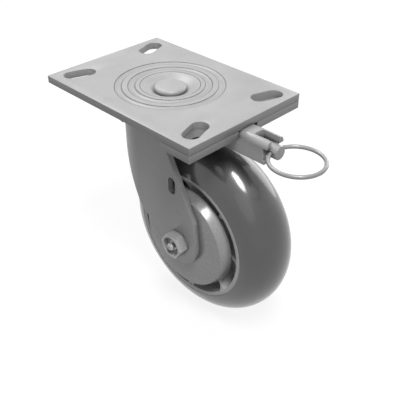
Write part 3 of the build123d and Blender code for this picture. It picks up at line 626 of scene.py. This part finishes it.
# Tyre: smooth grey elastomer, cast round the rim in a polished mould, so that its full
# round tread keeps a soft shine.
tread = [(54.12, -6.02), (58.02, -6.02), (58.02, 6.02), (54.12, 6.02), (54.12, 25.3, 0.25)]
for step in range(1, 40):
    lean = radians(82.5 - 165 * step / 40)
    tread.append((50.8 + 25.4 * cos(lean), 25.4 * sin(lean)))
tread.append((54.12, -25.3, 0.25))
tyre = turned("round_tyre", tread, 192, "Y", (LEAD, 0, AXLE_Z))


def moulded(name, colour, fleck=0.5, relief=0.01, gloss=(0.3, 0.4), coat=0.0, haze=0.06):
    """Moulded plastic or rubber: an even colour with faint haze, flecks and handling marks, and painted shade in its
    hollows.
    """
    paint, tree, shader, place = bare_material(name)
    shader.inputs["Coat Weight"].default_value = coat
    shader.inputs["Coat Roughness"].default_value = 0.15
    shader.inputs["Coat IOR"].default_value = 1.6
    shader.inputs["Specular IOR Level"].default_value = 0.35
    clouds = noise(tree, place, 26, 4)
    flecks = noise(tree, place, fleck, 3)
    dark = (*[part * (1 - haze) for part in colour], 1)
    light = (*[part * (1 + haze) for part in colour], 1)
    tone = blend_in(tree, "MIX", remap(tree, clouds, 0.35, 0.65, 0, 1), dark, light)
    tone = blend_in(tree, "MULTIPLY", 0.12, tone, remap(tree, flecks, 0.3, 0.6, 0.4, 1))
    # Painted shade: ambient occlusion darkens the colour in hollows and where the part meets others.
    occlusion_shade = corner_masks(tree, 0.3, 5.0)[1]
    tone = blend_in(tree, "MULTIPLY", 0.5, tone, remap(tree, occlusion_shade, 0.2, 0.9, 0.3, 1))
    tree.links.new(tone, shader.inputs["Base Color"])
    tree.links.new(remap(tree, clouds, 0.3, 0.7, *gloss), shader.inputs["Roughness"])
    bump = tree.nodes.new("ShaderNodeBump")
    bump.inputs["Strength"].default_value = 0.5
    bump.inputs["Distance"].default_value = relief * MM
    tree.links.new(flecks, bump.inputs["Height"])
    tree.links.new(bump.outputs[0], shader.inputs["Normal"])
    return paint


tyre_skin = moulded("tyre_elastomer", (0.07, 0.07, 0.07), fleck=0.9, relief=0.008, gloss=(0.4, 0.5), coat=1.0)
finish(tyre, "tyre", "wheel", tyre_skin)

# Axle bolt: 1/2 in bolt with a hexagon head that is hollowed for a grease fitting, and
# a rolled thread at its far end.
HEAD_SEAT = -36.2
HEAD_FRONT = -45.0
RECESS_FLOOR = -39.8
AXLE_CENTRE = (LEAD, 0, AXLE_Z)


def hexagon(name, flats, low, high):
    """Hexagon prism round the axle, turned a degree from having its flats on top and below."""
    bpy.ops.object.select_all(action="DESELECT")
    bpy.ops.mesh.primitive_cylinder_add(vertices=6, radius=flats / sqrt(3) * MM, depth=(high - low) * MM,
                                        location=(LEAD * MM, (low + high) / 2 * MM, AXLE_Z * MM),
                                        rotation=(radians(90), radians(91), 0))
    bpy.ops.object.transform_apply(location=True, rotation=True, scale=True)
    piece = bpy.context.object
    piece.name = name
    return piece


bolt_zinc = zinc_plating("bolt_zinc", 0.62, crystal=0.6, relief=0.01, gloss=(0.2, 0.38), metallic=0.2)
bolt = hexagon("axle_hex_bolt", 19.05, HEAD_FRONT, HEAD_SEAT)
join_or_cut(bolt, turned("head_shape", [(0, -36.2), (9.6, -36.2), (11.1, -36.9), (11.1, -44.1), (9.5, -45.0, 0.2),
                                        (7.9, -45.0, 0.5), (7.5, RECESS_FLOOR, 0.6), (0, RECESS_FLOOR)],
                         96, "Y", AXLE_CENTRE), "INTERSECT")
soften(bolt, 0.15, 40)
shank = [(0, -36.6), (6.35, -36.6), (6.35, 34.0)]
for turn in range(9):
    shank += [(6.35, 34.4 + 1.95 * turn), (5.6, 35.3 + 1.95 * turn), (6.35, 36.2 + 1.95 * turn)]
shank += [(5.5, 51.8), (0, 51.8)]
join_or_cut(bolt, turned("shank", shank, 64, "Y", AXLE_CENTRE), "UNION")
finish(bolt, "axle_bolt", "fork", bolt_zinc)

# Grease fitting: small turned nipple with a hexagon foot, screwed into the bolt's head.
fitting = hexagon("grease_nipple", 7.94, -42.2, RECESS_FLOOR - 0.02)
soften(fitting, 0.2, 40)
join_or_cut(fitting, turned("nipple_body", [(0, -41), (2.3, -41), (2.2, -43.1, 0.4), (3.25, -44.3, 0.5),
                                            (3.25, -45.2, 0.5), (1.6, -46.6, 0.3), (1.0, -46.6, 0.2),
                                            (0.8, -46.0), (0, -46.0)], 48, "Y", AXLE_CENTRE), "UNION")
fitting_zinc = zinc_plating("fitting_zinc", 0.6, crystal=0.4, relief=0.006, gloss=(0.2, 0.3), metallic=0.4,
                            edge=0.2)
finish(fitting, "grease_fitting", "fork", fitting_zinc)

# Washer and lock nut on the far leg: the nut's rolled collar grips a nylon ring.
washer = turned("flat_washer", [(6.8, 36.22, 0.15), (12.7, 36.22, 0.3), (12.7, 37.98, 0.4), (6.8, 37.98, 0.2)],
                96, "Y", AXLE_CENTRE)
finish(washer, "axle_washer", "fork", bolt_zinc)
nut = hexagon("lock_nut", 19.05, 38.02, 46.7)
join_or_cut(nut, turned("nut_shape", [(0, 38), (10.0, 38), (11.1, 38.6), (11.1, 45.8), (9.3, 46.9), (0, 46.9)],
                        96, "Y", AXLE_CENTRE), "INTERSECT")
soften(nut, 0.25, 40)
join_or_cut(nut, turned("nut_collar", [(6.4, 42), (8.3, 42), (8.3, 50.2, 1.4), (6.9, 50.2), (6.9, 49.5),
                                       (6.4, 49.5)], 96, "Y", AXLE_CENTRE), "UNION")
finish(nut, "axle_nut", "fork", bolt_zinc)
nylon = moulded("nylon_ring", (0.62, 0.62, 0.58), fleck=0.4, gloss=(0.4, 0.5))
insert = turned("nylon_insert", [(6.4, 46.9), (7.95, 46.9), (7.95, 49.5), (6.4, 49.5, 0.3)], 64, "Y", AXLE_CENTRE)
finish(insert, "nut_insert", "fork", nylon)

# Lock housing: a zinc-plated casting welded under the plate, round-shouldered on top and
# slotted at its outer end, where the ring drops in when it is turned upright.
cast_zinc = zinc_plating("housing_casting", 0.46, crystal=0.9, relief=0.06, gloss=(0.28, 0.46))
housing = block("lock_housing_casting", (62.5, -8.9, -20.9), (104.0, 8.9, -6.0))
bpy.ops.object.mode_set(mode="EDIT")
pick(housing, lambda a, b: a.z > -6.1 and b.z > -6.1 and abs(a.y - b.y) < 0.01, "EDGE")
bpy.ops.mesh.bevel(offset=4.5 * MM, segments=8, affect="EDGES")
bpy.ops.object.mode_set(mode="OBJECT")
join_or_cut(housing, block("hood_room", (100.5, -12, -25), (110, 12, -11.0)))
base = block("housing_base", (62.5, -8.9, -23.0), (102.7, 8.9, -20.5))
bpy.ops.object.mode_set(mode="EDIT")
pick(base, lambda centre, normal: normal.z < -0.9, "FACE")
bpy.ops.transform.resize(value=(1, 9.4 / 8.9, 1), center_override=(80 * MM, 0, 0))
bpy.ops.object.mode_set(mode="OBJECT")
join_or_cut(housing, base, "UNION")
mouth = block("slot_mouth", (88.8, -4.45, -40), (120, 4.45, 5))
bpy.ops.object.mode_set(mode="EDIT")
pick(mouth, lambda a, b: a.x < 88.9 and b.x < 88.9 and abs(a.y - b.y) < 0.01, "EDGE")
bpy.ops.mesh.bevel(offset=1.2 * MM, segments=4, affect="EDGES")
bpy.ops.object.mode_set(mode="OBJECT")
join_or_cut(housing, mouth)
soften(housing, 0.35, 50)
join_or_cut(housing, turned("spring_room", [(0, 60), (6.8, 60), (6.8, 86.8), (5.18, 86.8), (5.18, 110), (0, 110)],
                            64, "X", (0, 0, PIN_Z)))
finish(housing, "lock_housing", "plate", cast_zinc)

# Lock pin: bright drawn rod with a chamfered tip, grooved for its clip and drilled across
# for the ring.
drawn_steel = zinc_plating("drawn_rod_steel", 0.42, crystal=0.5, grain=(0.08, 1, 1), relief=0.006,
                           gloss=(0.24, 0.34), metallic=0.15, edge=0.2)
pin = turned("lock_pin_rod", [(0, 54.2), (3.9, 54.2), (5.1, 55.4), (5.1, 79.2), (4.4, 79.2), (4.4, 80.2), (5.1, 80.2),
                              (5.1, 108.9, 0.5), (0, 108.9)], 64, "X", (0, 0, PIN_Z))
join_or_cut(pin, turned("cross_hole", [(0, -9), (2.0, -9), (2.0, 9), (0, 9)], 32, "Y", (104.1, 0, PIN_Z)))
finish(pin, "lock_pin", "pin", drawn_steel)

# Pull ring: closed ring of round wire, its ends butt-welded on the side away from the pin.
RING_CENTRE = (104.1 - 0.341 + 19.4, 0, PIN_Z)
bpy.ops.object.select_all(action="DESELECT")
bpy.ops.mesh.primitive_torus_add(major_radius=19.4 * MM, minor_radius=1.5 * MM, major_segments=144,
                                 minor_segments=24, location=[number * MM for number in RING_CENTRE])
bpy.ops.object.transform_apply(location=True, rotation=True, scale=True)
ring = bpy.context.object
ring.name = "wire_ring"
bpy.ops.object.mode_set(mode="EDIT")
pick(ring, lambda co: co.x > RING_CENTRE[0] + 15 and abs(co.y) < 0.9)
bpy.ops.transform.shrink_fatten(value=0.12 * MM)
bpy.ops.object.mode_set(mode="OBJECT")
finish(ring, "pull_ring", "ring", drawn_steel, 60)

# Lock spring: a few turns of round wire on the pin, between its washer and the end of the
# spring room.
spring = bpy.data.objects.new("coil_spring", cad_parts["lock_spring"].data.copy())
bpy.context.collection.objects.link(spring)
alone(spring)
bpy.ops.object.mode_set(mode="EDIT")
bpy.ops.mesh.select_all(action="SELECT")
bpy.ops.mesh.remove_doubles(threshold=1e-7)
bpy.ops.object.mode_set(mode="OBJECT")
finish(spring, "lock_spring", "plate", drawn_steel, 60)
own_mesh(spring)

# Parts that show only through gaps: balls, races, nut, spring and bushes in ground and
# plated steel, and the black seal ring round the upper balls.
race_steel = zinc_plating("ground_race_steel", 0.55, crystal=0.4, relief=0.004, gloss=(0.16, 0.24),
                          metallic=0.5, edge=0.3)
seal_rubber = moulded("seal_rubber", (0.03, 0.03, 0.03), fleck=0.4, relief=0.03, gloss=(0.5, 0.65))
for name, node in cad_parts.items():
    node.data.materials.clear()
    node.data.materials.append(seal_rubber if name == "race_seal" else race_steel)
